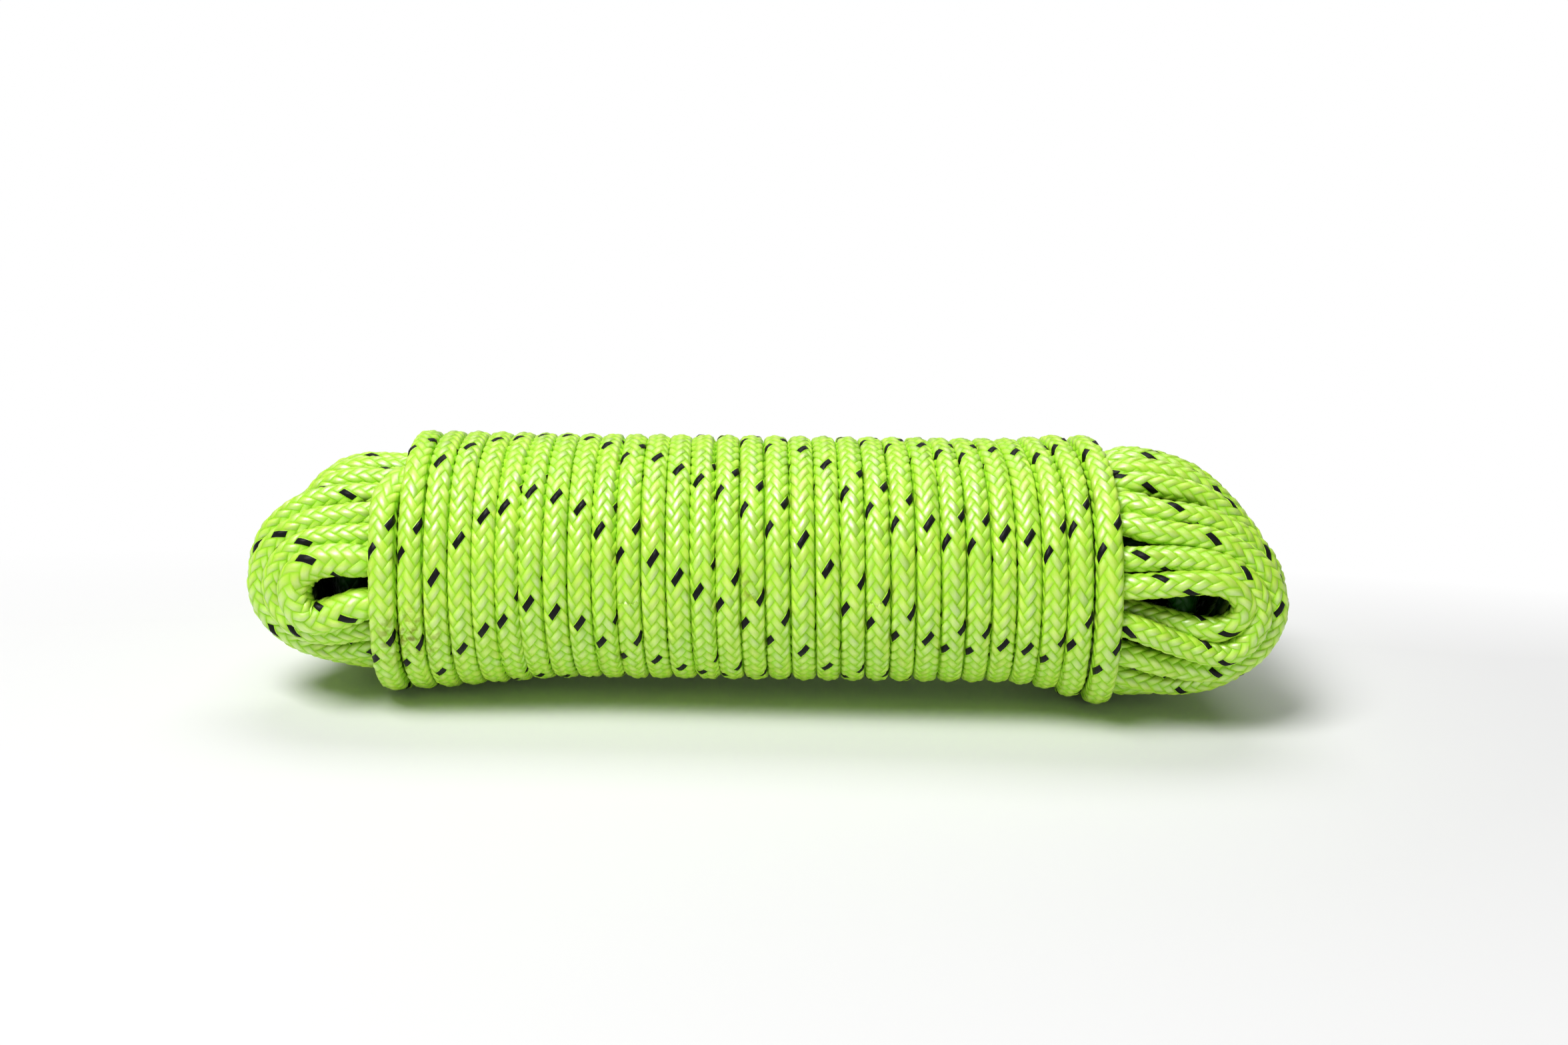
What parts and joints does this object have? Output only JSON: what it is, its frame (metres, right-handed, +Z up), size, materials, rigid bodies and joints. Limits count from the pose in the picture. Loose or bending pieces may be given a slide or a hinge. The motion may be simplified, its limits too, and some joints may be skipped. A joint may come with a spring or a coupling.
{
  "type": "braided cord hank",
  "caption": "Long loops of braided cord gathered into a slim bundle and bound round the middle by close turns of the same cord, with the folded loops open at both ends.",
  "frame": {"origin": "on the ground under the middle of the hank's overall box", "axes": "+X along the hank towards the end with the longer loops, +Z up, the front seen in use faces -Y"},
  "size_m": [0.2574, 0.0662, 0.0646],
  "materials": {
    "braided_cord": "glossy multifilament braid, lime green with one near-black tracer strand",
    "inner_cord": "the same braided cord, hidden inside the bundle",
    "sealed_end": "heat-sealed, hard and slightly glossy"
  },
  "bodies": {
    "root": {"hank_loops": "braided_cord", "hank_core": "inner_cord", "wrap_winding": "braided_cord", "start_tip": "sealed_end", "tail_tip": "sealed_end"}
  },
  "joints": []
}
